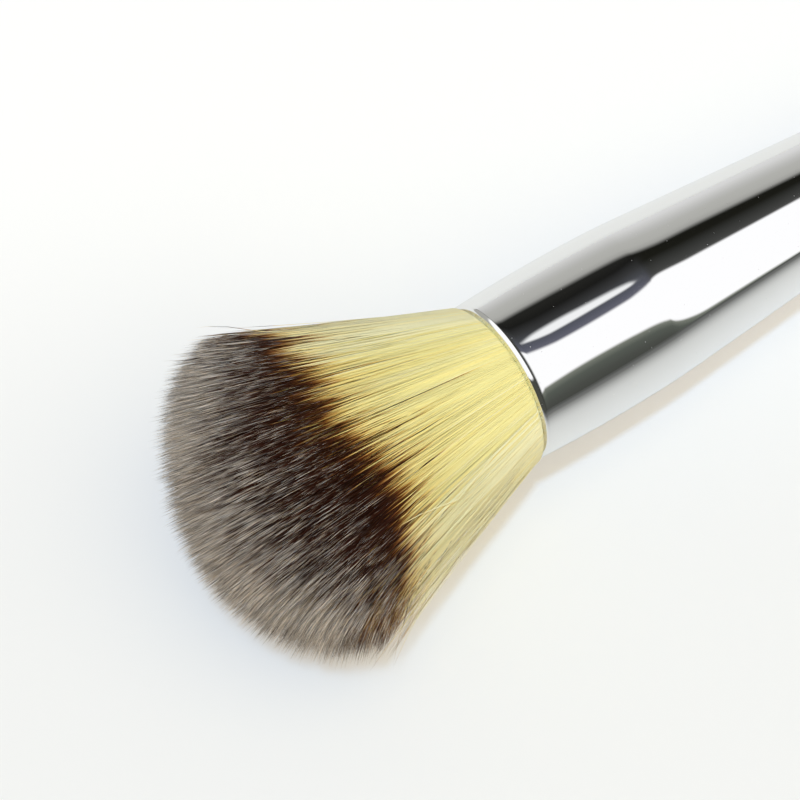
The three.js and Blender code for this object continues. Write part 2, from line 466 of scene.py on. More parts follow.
def silver_material():
    """Metallised coat of the handle, a little softer than the plating."""
    material, tree, shader = new_material("satin_silver")
    gloss = hazy_gloss(tree, object_place(tree), scale=900.0, detail=5.0, target=(0.10, 0.20))
    tree.links.new(gloss, shader.inputs["Roughness"])
    set_inputs(shader, {"Base Color": (0.82, 0.82, 0.83, 1.0), "Metallic": 1.0})
    return material


def hidden_material(name, colour, dark, roughness, scale):
    """Clouded finish of a piece inside the ferrules."""
    material, tree, shader = new_material(name)
    cloud = add_node(tree, "ShaderNodeTexNoise", None, Vector=object_place(tree), Scale=scale, Detail=3.0)
    shade = colour_ramp(tree, cloud.outputs["Fac"], [(0.3, dark), (0.7, colour)])
    tree.links.new(shade, shader.inputs["Base Color"])
    shader.inputs["Roughness"].default_value = roughness
    return material


# Turned pieces

def curve_points(start, control, end, steps):
    """Points of a bent line with one control point, without its start."""
    shares = np.linspace(0.0, 1.0, steps + 1)[1:, None]
    start, control, end = np.array(start), np.array(control), np.array(end)
    return list((1 - shares) ** 2 * start + 2 * shares * (1 - shares) * control + shares ** 2 * end)


def arc_points(centre, radius, first, last, steps):
    angles = np.radians(np.linspace(first, last, steps + 1))
    return [np.array((centre[0] + radius * math.cos(a), centre[1] + radius * math.sin(a))) for a in angles]


def turned_piece(name, outline, space, material):
    """A piece of revolution: one point is drawn out along the outline, spun round the axis and closed."""
    points = [Vector((place * MM, 0.0, radius * MM)) for place, radius in outline]
    bpy.ops.object.select_all(action="DESELECT")
    bpy.ops.mesh.primitive_plane_add(size=MM, location=(0, 0, 0))
    piece = bpy.context.object
    bpy.ops.object.mode_set(mode="EDIT")
    bpy.ops.mesh.select_all(action="SELECT")
    bpy.ops.mesh.merge(type="CENTER")
    bpy.ops.transform.translate(value=points[0])
    for before, after in zip(points, points[1:]):
        bpy.ops.mesh.extrude_vertices_move(TRANSFORM_OT_translate={"value": after - before})
    bpy.ops.mesh.select_all(action="SELECT")
    bpy.ops.mesh.spin(steps=ROUND_STEPS, angle=2 * math.pi, center=(0, 0, 0), axis=(1, 0, 0))
    bpy.ops.mesh.select_all(action="SELECT")
    bpy.ops.mesh.remove_doubles(threshold=WELD_DISTANCE)
    bpy.ops.mesh.normals_make_consistent(inside=False)
    bpy.ops.object.mode_set(mode="OBJECT")
    bpy.ops.object.shade_smooth_by_angle(angle=math.radians(SMOOTH_ANGLE))
    piece.name = name
    piece.data.name = name
    piece.data.transform(space)
    piece.data.materials.append(material)
    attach(piece, BODY)
    return piece


def ferrule_outline(head):
    """Closed section of the drawn sleeve, lip first, with the tail running to negative places."""
    mouth, lip, wall = head["mouth_radius"], head["lip_radius"], head["wall"]
    barrel_end = (-head["barrel_length"], mouth + head["barrel_end_swell"])
    shoulder_place = head["barrel_length"] + head["shoulder_length"]
    shoulder = (-shoulder_place, mouth - head["shoulder_drop"])
    tail = (-head["ferrule_length"], head["tail_radius"])
    swell = (-head["barrel_length"] / 2, mouth + head["barrel_swell"])
    outside = curve_points((-lip, mouth), swell, barrel_end, BARREL_STEPS)
    ease = (-head["barrel_length"] - head["shoulder_length"] / 3, barrel_end[1] - head["shoulder_drop"] / 2)
    outside += curve_points(barrel_end, ease, shoulder, SHOULDER_STEPS)
    halfway = ((shoulder[0] + tail[0]) / 2, (shoulder[1] + tail[1]) / 2)
    outside += curve_points(shoulder, halfway, tail, TAIL_STEPS)
    inside = [point - np.array((0.0, wall)) for point in outside[::-1]]
    hem_step = -head["hem_length"] - wall
    inside = [point for point in inside if point[0] < hem_step]
    nose = arc_points((-lip, mouth - lip), lip, -90, 90, LIP_STEPS)
    hem = [np.array((hem_step, mouth - wall)), np.array((-head["hem_length"], mouth - 2 * lip))]
    outline = nose + outside + inside + hem
    return outline + [outline[0]]


def handle_outline():
    """Section of the handle from tenon to tenon, tapering from the wide ferrule to the slim one."""
    start = POWDER["ferrule_length"] + FIT_GAP
    end = start + HANDLE_LENGTH
    wide, slim = POWDER["tail_radius"], DETAIL["tail_radius"]
    wide_tenon = wide - POWDER["wall"] - FIT_GAP
    slim_tenon = slim - DETAIL["wall"] - FIT_GAP
    wide_end = POWDER["ferrule_length"] - POWDER["tenon_length"]
    slim_end = end + FIT_GAP + DETAIL["tenon_length"]
    shoulder_place = POWDER["barrel_length"] + POWDER["shoulder_length"]
    taper_length = POWDER["ferrule_length"] - shoulder_place
    slope = (POWDER["mouth_radius"] - POWDER["shoulder_drop"] - wide) / taper_length
    outline = [np.array(point) for point in (
        (-wide_end, 0.0), (-wide_end, wide_tenon), (-start, wide_tenon), (-start, wide - EDGE_BREAK),
    )]
    wide_edge = (-start - EDGE_BREAK, wide)
    slim_edge = (-end + EDGE_BREAK, slim)
    outline += curve_points((-start, wide - EDGE_BREAK), (-start, wide), wide_edge, EDGE_STEPS)
    third = HANDLE_LENGTH / 3
    shares = np.linspace(0.0, 1.0, HANDLE_STEPS + 1)[1:]
    bend = np.array((
        wide_edge, (-start - third, wide - slope * third),
        (-end + third, slim), slim_edge,
    ))
    for share in shares:
        rest = 1 - share
        weights = (rest ** 3, 3 * share * rest ** 2, 3 * share ** 2 * rest, share ** 3)
        outline.append(sum(weight * point for weight, point in zip(weights, bend)))
    outline += curve_points(slim_edge, (-end, slim), (-end, slim - EDGE_BREAK), EDGE_STEPS)
    outline += [np.array(point) for point in (
        (-end, slim_tenon), (-slim_end, slim_tenon), (-slim_end, 0.0),
    )]
    return outline


# Fibre tufts

def dome_radius(head, place):
    """Radius of the crown at this place on the axis."""
    rise = np.clip((place - head["flare_length"]) / head["dome_height"], 0.0, 1.0)
    return head["flare_radius"] * (1.0 - rise ** DOME_CROWN) ** (1.0 / DOME_SIDE)


def fan_radius(head, place):
    """Outer radius of the fanned fibres: a straight neck in the ferrule that bends out over the lip."""
    slope = (head["flare_radius"] - head["flare_start_radius"]) / head["flare_length"]
    straight = head["flare_start_radius"] + slope * place
    share = np.clip((place - head["roll_out_start"]) / head["roll_out_length"], 0.0, 1.0)
    ease = share * share * (3.0 - 2.0 * share)
    return head["neck_radius"] + ease * (straight - head["neck_radius"])


def lobe(angle, way, focus):
    """One on this way round the axis, in degrees, falling off on both sides of it."""
    return np.exp(focus * (np.cos(angle - math.radians(way)) - 1.0))


def press_in(angle, gather):
    """Share of the fan's radius left on the pressed side, least about seven tenths of the way to the tips."""
    pressed = lobe(angle, PRESSED_WAY, PRESSED_FOCUS)
    hollow = np.abs(np.sin(PRESSED_RUN * math.pi * gather ** PRESSED_START)) ** PRESSED_POWER
    return 1.0 - PRESSED_SHARE * pressed * hollow


def band_edge(head, angle):
    """Distance from the tips at which the dark band turns pale, deepest towards the top of the brush."""
    slanted = head["band_middle"]
    for way, focus, share in BAND_BULGES:
        slanted = slanted + share * head["band_slant"] * lobe(angle, way, focus)
    for waves, phase in SWAY_WAVES:
        slanted = slanted + head["band_sway"] * np.sin(waves * angle + phase)
    # A soft lower limit
    over = slanted - head["band_least"]
    return head["band_least"] + 0.5 * (over + np.sqrt(over * over + 1.0))


def band_depth(head, reach, angle, depth, shift, pale_share):
    """Share of the colour bands at this depth below the tips: pale crown, dark ring, pale roots."""
    edge = band_edge(head, angle) + shift
    edge = edge + MANTLE_BAND * np.maximum(SKIN_REACH - reach, 0.0)
    edge = edge + HEART_BAND * np.maximum(MANTLE_REACH - reach, 0.0)
    edge = np.maximum(edge, BAND_EDGE_LEAST)
    # Pale tips painted longer on two sides of the tuft, as sheen where light grazes the fibres
    sides = 1.0
    for way, focus, gain in TIP_SHEEN_SIDES:
        sides = sides + gain * reach ** TIP_SHEEN_RISE * lobe(angle, way, focus)
    sides = np.minimum(sides, TIP_SHEEN_MOST)
    pale = head["pale_tip"] * (PALE_RIM + (1.0 - PALE_RIM) * (1.0 - reach) ** PALE_FALL) * sides
    pale = pale * (pale_share + PALE_LEAST) ** (PALE_EASE + (1.0 - PALE_EASE) * reach)
    pale = pale * np.interp(reach, SKIN_PALE_RANGE, (1.0, SKIN_PALE))
    tip_side = np.minimum(2.0 * depth / pale, DARK_BAND)
    root_side = BAND_EDGE + depth - edge
    bands = np.where(root_side < DARK_BAND, tip_side, root_side)
    return np.clip(bands / BAND_RANGE, 0.0, 1.0)


def tip_place(head, reach):
    """Where a fibre that sits at this share of the fan's radius meets the crown."""
    places = np.linspace(head["flare_length"], head["flare_length"] + head["dome_height"], CROWN_STEPS)
    shares = dome_radius(head, places) / fan_radius(head, places)
    return np.interp(reach, shares[::-1], places[::-1])


def disc_points(count, inner, outer):
    """Random places spread evenly over a ring."""
    reach = np.sqrt(rng.uniform(inner ** 2, outer ** 2, count))
    angle = rng.uniform(0.0, 2 * math.pi, count)
    return np.stack((reach * np.cos(angle), reach * np.sin(angle)), axis=1)


def nearest_clump(points, clumps):
    """Number of the clump that lies nearest to each point."""
    tree = KDTree(len(clumps))
    for index, (across, upward) in enumerate(clumps):
        tree.insert((across, upward, 0.0), index)
    tree.balance()
    return np.array([tree.find((across, upward, 0.0))[1] for across, upward in points])


def make_clumps(head):
    """Places where fibres draw together, with what the fibres of a clump share."""
    places = disc_points(head["clumps"], 0.0, 1.0)
    return {
        "places": places,
        "pull": rng.uniform(*CLUMP_PULL, len(places)),
        "band": rng.normal(size=len(places)) * head["band_clump_spread"],
        "column": rng.integers(0, SHEEN_COLUMN, len(places)),
        "pale": rng.gamma(PALE_SHAPE, 1.0 / PALE_SHAPE, len(places)),
    }


def fibre_colours(head, clumps, nearest, reach, angle, depth, loose):
    """Colour bands along every fibre, and the column of its tone."""
    count = len(nearest)
    shift = clumps["band"][nearest] + rng.normal(size=count) * head["band_fibre_spread"]
    late = rng.random(count) < LATE_SHARE
    shift = shift + late * rng.exponential(head["band_tail"], count)
    shared = rng.random(count) < CLUMP_TONE_SHARE
    pale = np.where(shared, clumps["pale"][nearest], rng.gamma(PALE_SHAPE, 1.0 / PALE_SHAPE, count))
    light = (rng.random(count) < LIGHT_SHARE) & (reach > MANTLE_REACH)
    pale = np.where(light, rng.uniform(*LIGHT_PALE, count), pale)
    pale = np.where(loose, rng.uniform(*FRINGE_PALE, count), pale)
    bands = band_depth(head, reach[:, None], angle[:, None], depth, shift[:, None], pale[:, None])
    columns = np.where(shared, clumps["column"][nearest], rng.integers(0, SHEEN_COLUMN, count))
    # On two sides more fibres take the sheen columns, whose straw is painted paler as sheen
    chance = rng.random(count)
    for way, focus, gain in STRAW_SHEEN_SIDES:
        chance = chance - gain * lobe(angle, way, focus)
    sheen_straw = SHEEN_COLUMN + columns % (TONE_COLUMNS - SHEEN_COLUMN)
    columns = np.where(chance < 0.0, sheen_straw, columns)
    return bands, (columns + 0.5) / TONE_COLUMNS


def fibre_courses(head, roots, clumps, start, steps, neck):
    """Points along every fibre, with its thickness, colour bands and tone column."""
    count = len(roots)
    nearest = nearest_clump(roots, clumps["places"])
    reach = np.minimum(np.linalg.norm(roots, axis=1), 1.0)
    angle = np.arctan2(roots[:, 1], roots[:, 0])
    trim = rng.gamma(TRIM_SHAPE, head["uneven_tips"], count)
    stretch = head["longest_tip"] * rng.uniform(*STRETCH_RANGE, count)
    ends = tip_place(head, reach) + stretch - np.minimum(trim, TRIM_MOST * head["flare_length"])
    starts = np.full(count, start) if start >= 0.0 else ends + start
    shares = np.array(steps)[None, :]
    places = starts[:, None] + (ends - starts)[:, None] * shares
    if neck:
        places = np.concatenate((np.tile(np.array(neck), (count, 1)), places), axis=1)
    gather = np.clip(places / ends[:, None], 0.0, 1.0)[:, :, None]
    drift = rng.normal(size=(count, 2)) * head["strand_drift"]
    pull = clumps["pull"][nearest] * np.interp(reach, RIM_EASE_RANGE, (1.0, RIM_EASE))
    pulled = (clumps["places"][nearest] - roots) * pull[:, None]
    sections = roots[:, None, :] + pulled[:, None, :] * gather ** 3 + drift[:, None, :] * gather ** 2
    phase = rng.uniform(0.0, 2 * math.pi, (count, 2))
    pace = rng.uniform(*WAVE_PACE, (count, 2))
    size = head["wave"] * rng.gamma(WAVE_SHAPE, WAVE_SCALE, (count, 1))
    size = np.where(rng.random((count, 1)) < STRAY_SHARE, STRAY_GAIN * size, size)
    swing = np.sin(2 * math.pi * pace[:, None, :] * gather + phase[:, None, :])
    swing = swing - np.sin(phase)[:, None, :]
    loose = (rng.random(count) < FRINGE_SHARE) & (reach > FRINGE_REACH)
    held = np.where(loose, rng.random(count), 1.0)
    loft = np.where(loose, rng.exponential(head["fringe_loft"], count), 0.0)
    pressed = 1.0 - (1.0 - press_in(angle[:, None], gather[:, :, 0])) * held[:, None]
    outward = roots / np.linalg.norm(roots, axis=1, keepdims=True)
    across = sections * (fan_radius(head, places) * pressed)[:, :, None]
    across = across + outward[:, None, :] * loft[:, None, None] * gather ** FRINGE_LIFT
    across = across + swing * gather ** 2 * size[:, None, :]
    points = np.concatenate((places[:, :, None], across), axis=2)
    depth = ends[:, None] - places
    taper = np.clip(depth / head["tip_taper"], 0.0, 1.0) ** TAPER_POWER
    radii = head["tip_radius"] + (head["fibre_radius"] - head["tip_radius"]) * taper
    radii = radii * rng.uniform(*THICKNESS_RANGE, (count, 1))
    radii = radii * np.where(loose, FRINGE_THICKNESS, 1.0)[:, None]
    bands, columns = fibre_colours(head, clumps, nearest, reach, angle, depth, loose)
    return points, radii, bands, columns


def tuft_normals(head, points):
    """The way the tuft's own surface faces at each point: outward on the fan, forward on the crown."""
    start = FACING_START * head["flare_length"]
    run = (1.0 - FACING_START) * head["flare_length"] + head["dome_height"]
    rise = np.clip((points[..., :1] - start) / run, 0, 1)
    forward = -FACING_BACK + (1.0 + FACING_BACK) * rise * rise * (3.0 - 2.0 * rise)
    radial = points[..., 1:] / (np.linalg.norm(points[..., 1:], axis=-1, keepdims=True) + TINY)
    return np.concatenate((forward, radial * np.sqrt(1.0 - forward * forward)), axis=-1)


def fibre_mesh(name, head, courses, space):
    """Three-sided tapered fibres, each closed by a cap at the root and a point at the tip."""
    points, radii, bands, columns = courses
    count, rings = bands.shape
    spin = rng.uniform(0.0, 2 * math.pi, (count, 1, 1)) + np.array((0.0, 2.0, 4.0)) * math.pi / 3
    ring_offset = np.stack((np.zeros_like(spin), np.cos(spin), np.sin(spin)), axis=-1)
    sides = points[:, :-1, None, :] + radii[:, :-1, None, None] * ring_offset
    corners = np.concatenate((sides.reshape(count, -1, 3), points[:, -1:, :]), axis=1)
    per_fibre = corners.shape[1]
    turn = np.array(space.to_3x3())
    world = corners.reshape(-1, 3) * MM @ turn.T + np.array(space.translation)
    table_clear = TABLE_CLEAR + TABLE_CLEAR_SPREAD * rng.random(len(world))
    world[:, 2] = np.maximum(world[:, 2], table_clear)
    quads = []
    quad_uv = []
    half = COLUMN_SPAN / TONE_COLUMNS
    for ring in range(rings - 2):
        for side in range(3):
            after = (side + 1) % 3
            quads.append((3 * ring + side, 3 * ring + after, 3 * ring + 3 + after, 3 * ring + 3 + side))
            quad_uv.append(((ring, -half), (ring, half), (ring + 1, half), (ring + 1, -half)))
    tip = per_fibre - 1
    last = 3 * (rings - 2)
    triangles = [(2, 1, 0)]
    triangle_uv = [((0, -half), (0, half), (1, 0.0))]
    for side in range(3):
        triangles.append((last + side, last + (side + 1) % 3, tip))
        triangle_uv.append(((rings - 2, -half), (rings - 2, half), (rings - 1, 0.0)))
    first = (np.arange(count) * per_fibre)[:, None]
    quad_loops = (first + np.array(quads).reshape(1, -1)).reshape(count, -1)
    triangle_loops = (first + np.array(triangles).reshape(1, -1)).reshape(count, -1)
    loops = np.concatenate((quad_loops.ravel(), triangle_loops.ravel())).astype(np.int32)
    quad_starts = np.arange(count * len(quads)) * 4
    triangle_starts = count * len(quads) * 4 + np.arange(count * len(triangles)) * 3
    starts = np.concatenate((quad_starts, triangle_starts)).astype(np.int32)
    mesh = bpy.data.meshes.new(name)
    mesh.vertices.add(len(world))
    mesh.vertices.foreach_set("co", world.astype(np.float32).ravel())
    mesh.loops.add(len(loops))
    mesh.loops.foreach_set("vertex_index", loops)
    mesh.polygons.add(len(starts))
    mesh.polygons.foreach_set("loop_start", starts)
    mesh.update(calc_edges=True)
    layer = mesh.uv_layers.new(name=BAKE_MAP)
    uv_rows = []
    for pattern in (quad_uv, triangle_uv):
        ring_index = np.array([[corner[0] for corner in face] for face in pattern]).ravel()
        offset = np.array([[corner[1] for corner in face] for face in pattern]).ravel()
        across = columns[:, None] + offset[None, :]
        along = bands[:, ring_index]
        uv_rows.append(np.stack((across, along), axis=-1).reshape(-1, 2))
    layer.uv.foreach_set("vector", np.concatenate(uv_rows).astype(np.float32).ravel())
    mesh.polygons.foreach_set("use_smooth", np.ones(len(starts), dtype=bool))
    mesh.validate()
    whole = tuft_normals(head, points)
    own = np.broadcast_to(ring_offset, sides.shape)
    blended = SHARED_SHADE * whole[:, :-1, None, :] + (1.0 - SHARED_SHADE) * own
    shade = np.concatenate((blended.reshape(count, -1, 3), whole[:, -1:, :]), axis=1)
    shade = shade.reshape(-1, 3) @ turn.T
    mesh.normals_split_custom_set_from_vertices(shade / np.linalg.norm(shade, axis=1, keepdims=True))
    return mesh


def tuft_core(head, space, material):
    """Packed core of the tuft under its fibres, pressed in like them and painted darker than them, as shade
    in the gaps between fibres.
    """
    lip = head["roll_out_start"]
    fanned = lip + head["roll_out_length"] + CORE_BEND
    neck = np.linspace(lip - CORE_ROOT, fanned, CORE_NECK_POINTS)
    flare = np.linspace(fanned, head["flare_length"] - head["core_sink"], CORE_FLARE_POINTS)
    places = np.concatenate((neck, flare[1:]))
    radii = np.interp(places / head["flare_length"], CORE_PLACES, CORE_SHARES) * fan_radius(head, places)
    outline = [np.array((places[0], 0.0))]
    outline += [np.array(point) for point in zip(places, radii)]
    for step in np.sin(np.linspace(0.0, math.pi / 2, CORE_CROWN_POINTS))[1:]:
        radius = radii[-1] * (1.0 - step ** DOME_CROWN) ** (1.0 / DOME_SIDE)
        outline.append(np.array((places[-1] + step * (head["dome_height"] - CORE_CROWN_GAP), radius)))
    core = turned_piece(head["name"] + "_tuft_core", outline, space, material)
    mesh = core.data
    layer = mesh.uv_layers.get(BAKE_MAP) or mesh.uv_layers.new(name=BAKE_MAP)
    back = space.inverted()
    for polygon in mesh.polygons:
        corners = [back @ mesh.vertices[index].co / MM for index in polygon.vertices]
        turns = [math.atan2(corner.z, corner.y) / (2 * math.pi) + 0.5 for corner in corners]
        if max(turns) - min(turns) > 0.5:
            turns = [turn + 1.0 if turn < 0.5 else turn for turn in turns]
        for loop, corner, turn in zip(polygon.loop_indices, corners, turns):
            reach = min(math.hypot(corner.y, corner.z) / float(fan_radius(head, corner.x)), 1.0)
            depth = max(float(tip_place(head, reach)) - corner.x, 0.0)
            # Painted shade: coloured deeper and without pale tips, so the gaps between fibres stay dark
            band = band_depth(head, reach, (turn - 0.5) * 2 * math.pi, depth + CORE_SHADE, 0.0, 0.0)
            layer.uv[loop].vector = (turn * CORE_TURN, float(band))
    for vertex in mesh.vertices:
        spot = back @ vertex.co / MM
        gather = min(max(spot.x / head["flare_length"], 0.0), 1.0)
        share = float(press_in(math.atan2(spot.z, spot.y), gather))
        vertex.co = space @ (Vector((spot.x, share * spot.y, share * spot.z)) * MM)
    return core


def make_tuft(head, space, material):
    """The core and three layers of fibres, in bundles that stay small enough to handle."""
    clumps = make_clumps(head)
    node = head["name"] + "_tuft"
    lip = head["roll_out_start"]
    length = head["roll_out_length"]
    neck = (lip - NECK_ROOT, *(lip + share * length for share in NECK_STEPS))
    layers = [
        ("skin", SKIN_REACH, 1.0, lip + length, LONG_STEPS, neck),
        ("mantle", MANTLE_REACH, SKIN_REACH, MANTLE_START, LONG_STEPS, ()),
        ("heart", 0.0, MANTLE_REACH, -head["heart_depth"], SHORT_STEPS, ()),
    ]
    core = tuft_core(head, space, material)
    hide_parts(node)
    for label, inner, outer, start, steps, collar in layers:
        roots = disc_points(head[label + "_fibres"], inner, outer)
        courses = fibre_courses(head, roots, clumps, start, steps, collar)
        rings = courses[2].shape[1]
        # Two triangles on each of three sides from ring to ring, three at the tip and one at the root
        faces = (rings - 2) * 6 + 4
        bundles = math.ceil(len(roots) * faces / MOST_FACES)
        for index, rows in enumerate(np.array_split(np.arange(len(roots)), bundles)):
            part = tuple(values[rows] for values in courses)
            name = f"{head['name']}_{label}_fibres_{index + 1}"
            mesh = fibre_mesh(name, head, part, space)
            mesh.materials.append(material)
            piece = bpy.data.objects.new(name, mesh)
            bpy.context.scene.collection.objects.link(piece)
            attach(piece, BODY)
            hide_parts(node)


# Build the brush

chrome = chrome_material()
silver = silver_material()
fibre = fibre_material()

for head, space in ((POWDER, powder_space), (DETAIL, detail_space)):
    ferrule = turned_piece(head["name"] + "_sleeve", ferrule_outline(head), space, chrome)
    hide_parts(head["name"] + "_ferrule")
    make_tuft(head, space, fibre)
grip = turned_piece("silver_grip", handle_outline(), powder_space, silver)
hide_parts("handle")

thread = hidden_material(
    "binding_thread", (0.86, 0.82, 0.72), (0.70, 0.66, 0.56), roughness=0.9, scale=2500.0)
resin = hidden_material(
    "amber_resin", (0.72, 0.54, 0.26), (0.52, 0.34, 0.12), roughness=0.25, scale=400.0)
glue = hidden_material(
    "set_glue", (0.85, 0.82, 0.72), (0.74, 0.70, 0.60), roughness=0.55, scale=600.0)
for head_name in ("powder", "detail"):
    for ending, finish in (("binding", thread), ("plug", resin), ("adhesive", glue)):
        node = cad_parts[f"{head_name}_{ending}"]
        node.data.materials.clear()
        node.data.materials.append(finish)


# Table, light and camera

def make_table():
    """White table with some white of its own, painted darker towards the camera as shade, and in the metal's
    mirror a painted pool of light that fades to a dark emission.
    """
    table_size = 12.0
    white_share = 0.36
    tone_way, tone_start, tone_end = (0.577, 0.816, 0.0), -0.05, 0.02
    pool_half = 0.6
    bpy.ops.object.select_all(action="DESELECT")
    bpy.ops.mesh.primitive_grid_add(x_subdivisions=2, y_subdivisions=2, size=table_size, location=(0, 0, 0))
    table = bpy.context.object
    table.name = "table"
    material, tree, shader = new_material("white_table")
    set_inputs(shader, {"Roughness": 0.7, "Specular IOR Level": 0.2})
    ray = tree.nodes.new("ShaderNodeLightPath")
    place = object_place(tree)
    # The table's colour is painted darker on the side towards the camera, as shade
    onward = vector_node(tree, "DOT_PRODUCT", "Value", i0=place, i1=tone_way)
    nearness = smooth_step(tree, onward, tone_start, tone_end)
    tone = colour_ramp(tree, nearness, [(0.0, (0.905, 0.900, 0.899)), (1.0, (1.0, 0.994, 0.993))])
    tree.links.new(tone, shader.inputs["Base Color"])
    parts = add_node(tree, "ShaderNodeSeparateXYZ", None, i0=place)
    across = map_range(tree, parts.outputs["Y"], (-pool_half, pool_half))
    # Painted reflection: in the mirror the table shows a pool of light near the brush, fading to a dark
    # emission further off
    painted_pool = colour_ramp(tree, across, [
        (0.000, grey(0.95)),
        (0.340, grey(0.86)),
        (0.407, grey(0.66)),
        (0.433, grey(0.48)),
        (0.457, grey(0.28)),
        (0.485, grey(0.14)),
        (0.650, grey(0.14)),
        (1.000, grey(0.22)),
    ])
    white = add_node(tree, "ShaderNodeEmission", None, Color=tone, Strength=1.0)
    dusk = add_node(tree, "ShaderNodeEmission", None, Color=(0.055, 0.058, 0.053, 1.0))
    camera_share = math_node(tree, "MULTIPLY", ray.outputs["Is Camera Ray"], white_share)
    glossy_share = math_node(tree, "MULTIPLY", ray.outputs["Is Glossy Ray"], painted_pool)
    seen = mix_shader(tree, camera_share, shader, white)
    shown = mix_shader(tree, glossy_share, seen, dusk)
    tree.links.new(shown.outputs[0], tree.nodes["Material Output"].inputs["Surface"])
    table.data.materials.append(material)


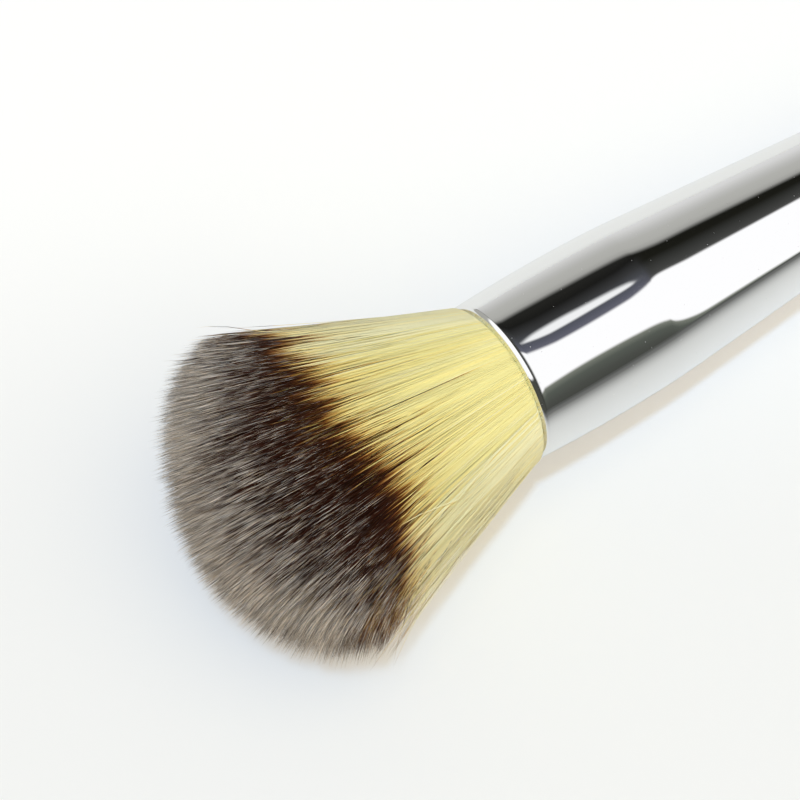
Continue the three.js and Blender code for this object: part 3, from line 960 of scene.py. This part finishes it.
def make_world():
    """Pale surround, warm soft fill for the object, and a studio of dark and bright panels for gloss."""
    # Edges of the panels are drawn over this range along the handle, within this angle of overhead
    line_start, line_span = 0.2, 0.4
    angle_half = 100.0
    # How soft the edges are, in degrees
    crisp, blurred, streak_blur, soft = 2.0, 2.5, 3.5, 4.5
    # Where along the handle the mirror passes from one part of the ferrule to the next
    shoulder_start, shoulder_end = 0.44, 0.50
    gap_start, gap_end = 0.225, 0.20
    mouth_start, mouth_end = 0.19, 0.15
    lip_foot, lip_foot_width = -42.0, 3.0
    lip_head, lip_head_width = 58.0, 5.0
    white = (1.1, 1.1, 1.1, 1.0)
    streak_white = (0.97, 0.98, 0.98, 1.0)
    lip_dark = (0.07, 0.073, 0.062, 1.0)
    lip_grey = (0.42, 0.42, 0.39, 1.0)
    gap_dark = (0.05, 0.052, 0.045, 1.0)

    world = bpy.data.worlds.new("studio")
    bpy.context.scene.world = world
    world.use_nodes = True
    tree = world.node_tree
    tree.nodes.clear()
    ray = tree.nodes.new("ShaderNodeLightPath")
    direction = add_node(tree, "ShaderNodeTexCoord").outputs["Generated"]
    parts = add_node(tree, "ShaderNodeSeparateXYZ", None, i0=direction)
    around = math_node(tree, "ARCTAN2", parts.outputs["Y"], parts.outputs["Z"])
    degrees = math_node(tree, "MULTIPLY", around, 180.0 / math.pi)
    handle_way = -powder_space.to_3x3().col[0]
    along = vector_node(tree, "DOT_PRODUCT", "Value", i0=direction, i1=tuple(handle_way))

    def edge_line(stops):
        """An edge of a studio panel, in degrees from overhead, against the way along the handle."""
        placed = map_range(tree, along, (line_start, line_start + line_span))
        shades = []
        for share, angle in stops:
            level = (angle + angle_half) / (2.0 * angle_half)
            shades.append(((share - line_start) / line_span, grey(level)))
        level = colour_ramp(tree, placed, shades, "CARDINAL")
        return math_node(tree, "MULTIPLY_ADD", level, 2.0 * angle_half, -angle_half)

    def step_over(edge, width):
        """Rises from nothing to one across an edge."""
        offset = math_node(tree, "SUBTRACT", degrees, edge)
        return smooth_step(tree, offset, -width, width)

    def panel_ramp(edge, reach, stops):
        """Shades of a panel by degrees past its edge."""
        offset = math_node(tree, "SUBTRACT", degrees, edge)
        share = map_range(tree, offset, reach)
        span = reach[1] - reach[0]
        return colour_ramp(tree, share, [((angle - reach[0]) / span, shade) for angle, shade in stops])

    white_foot = edge_line([(0.20, -66), (0.26, -62), (0.33, -59), (0.41, -61), (0.45, -65),
                            (0.48, -73), (0.52, -84), (0.56, -88), (0.60, -90)])
    white_head = edge_line([(0.20, -4), (0.26, -10), (0.31, -16.5), (0.43, -16), (0.46, -10.5),
                            (0.50, -5), (0.55, -6.5), (0.60, -10)])
    streak_foot = edge_line([(0.25, 6), (0.28, 1.5), (0.31, -2.5), (0.40, -2.5), (0.44, -1), (0.46, 3)])
    streak_head = edge_line([(0.25, 2), (0.28, 7), (0.31, 8.5), (0.36, 7.5), (0.44, 4.0), (0.46, -4)])
    dark_head = edge_line([(0.20, 49), (0.31, 47), (0.36, 45.5), (0.44, 44), (0.46, 42),
                           (0.515, 38), (0.55, 36), (0.60, 30)])

    lower = panel_ramp(white_foot, (-40.0, 0.0), [
        (-40, (0.055, 0.058, 0.050)),
        (-22, (0.075, 0.080, 0.070)),
        (-10, (0.100, 0.112, 0.095)),
        (-4, (0.170, 0.185, 0.155)),
        (0, (0.230, 0.245, 0.200)),
    ])
    violet = panel_ramp(white_head, (-2.0, 55.0), [
        (-2, (0.150, 0.150, 0.190)),
        (8, (0.105, 0.110, 0.140)),
        (20, (0.070, 0.074, 0.082)),
        (30, (0.042, 0.043, 0.044)),
        (44, (0.012, 0.012, 0.011)),
        (55, (0.018, 0.018, 0.016)),
    ])
    ink = panel_ramp(white_head, (-2.0, 55.0), [
        (-2, (0.110, 0.110, 0.105)),
        (5, (0.060, 0.061, 0.058)),
        (18, (0.034, 0.035, 0.032)),
        (28, (0.012, 0.012, 0.009)),
        (55, (0.008, 0.008, 0.006)),
    ])
    past_shoulder = smooth_step(tree, along, shoulder_start, shoulder_end)
    middle = mix_colour(tree, past_shoulder, violet, ink)
    upper = panel_ramp(dark_head, (0.0, 60.0), [
        (0, (0.33, 0.33, 0.31)),
        (5, (0.40, 0.40, 0.375)),
        (10, (0.46, 0.46, 0.43)),
        (22, (0.49, 0.49, 0.46)),
        (30, (0.55, 0.55, 0.53)),
        (38, (0.64, 0.64, 0.62)),
        (46, (0.73, 0.73, 0.72)),
        (60, (0.80, 0.80, 0.79)),
    ])
    studio = mix_colour(tree, step_over(white_foot, blurred), lower, white)
    studio = mix_colour(tree, step_over(white_head, blurred), studio, middle)
    above_foot = step_over(streak_foot, crisp)
    above_head = step_over(streak_head, streak_blur)
    in_streak = math_node(tree, "SUBTRACT", above_foot, above_head)
    studio = mix_colour(tree, in_streak, studio, streak_white)
    studio = mix_colour(tree, step_over(dark_head, soft), studio, upper)
    lip_studio = mix_colour(tree, step_over(lip_foot, lip_foot_width), lip_dark, white)
    lip_studio = mix_colour(tree, step_over(lip_head, lip_head_width), lip_studio, lip_grey)
    behind_lip = smooth_step(tree, along, gap_start, gap_end)
    studio = mix_colour(tree, behind_lip, studio, gap_dark)
    before_mouth = smooth_step(tree, along, mouth_start, mouth_end)
    studio = mix_colour(tree, before_mouth, studio, lip_studio)

    fill = add_node(tree, "ShaderNodeBackground", None, Color=(1.0, 0.86, 0.64, 1.0), Strength=0.41)
    mirror = add_node(tree, "ShaderNodeBackground", None, Color=studio, Strength=1.0)
    pale = add_node(tree, "ShaderNodeBackground", None, Color=(0.98, 0.98, 0.98, 1.0))
    glossy = mix_shader(tree, ray.outputs["Is Glossy Ray"], fill, mirror)
    seen = mix_shader(tree, ray.outputs["Is Camera Ray"], glossy, pale)
    out = tree.nodes.new("ShaderNodeOutputWorld")
    tree.links.new(seen.outputs[0], out.inputs["Surface"])


def soft_light(name, way, spread, level, colour):
    """A far soft lamp that lights the table to this level from this way."""
    way = Vector(way).normalized()
    bpy.ops.object.select_all(action="DESELECT")
    bpy.ops.object.light_add(type="SUN", location=way)
    lamp = bpy.context.object
    lamp.name = name
    lamp.rotation_mode = "QUATERNION"
    lamp.rotation_quaternion = (-way).to_track_quat("-Z", "Y")
    lamp.data.angle = math.radians(spread)
    lamp.data.energy = level * math.pi / way.z
    lamp.data.color = colour
    lamp.visible_glossy = False


def make_camera():
    """The photograph's view: the powder ferrule's mouth lands on its own pixel at its own scale."""
    image_size, focal_pixels = 800.0, 2342.0
    mouth_pixel = (495.7, 384.2)
    azimuth, elevation = math.radians(-35.26), math.radians(61.97)
    distance = 285.7 * MM
    back = Vector((
        math.sin(azimuth) * math.cos(elevation),
        -math.cos(azimuth) * math.cos(elevation),
        math.sin(elevation),
    ))
    data = bpy.data.cameras.new("photo_view")
    camera = bpy.data.objects.new("photo_view", data)
    bpy.context.scene.collection.objects.link(camera)
    data.sensor_width = 36.0
    data.lens = focal_pixels * data.sensor_width / image_size
    data.clip_start = 0.01
    data.clip_end = 20.0
    aim = (-back).to_track_quat("-Z", "Y").to_matrix().to_4x4()
    turn = Matrix.Rotation(math.atan((mouth_pixel[0] - image_size / 2) / focal_pixels), 4, "Y")
    tip = Matrix.Rotation(-math.atan((image_size / 2 - mouth_pixel[1]) / focal_pixels), 4, "X")
    spot = powder_space.translation + back * distance
    camera.matrix_world = Matrix.Translation(spot) @ aim @ turn @ tip
    bpy.context.scene.camera = camera


make_table()
make_world()
soft_light("key_light", (-0.12, -0.215, 1.0), spread=4.0, level=0.36, colour=(0.56, 0.95, 1.46))
soft_light("soft_key_light", (-0.20, -0.26, 1.0), spread=45.0, level=0.07, colour=(1.0, 0.88, 0.62))
soft_light("wide_light", (0.1, -0.45, 1.0), spread=60.0, level=0.30, colour=(1.0, 0.82, 0.46))
soft_light("front_light", (0.0, -1.0, 0.45), spread=60.0, level=0.04, colour=(0.96, 1.0, 0.92))
make_camera()
bpy.context.scene.view_settings.view_transform = "Standard"
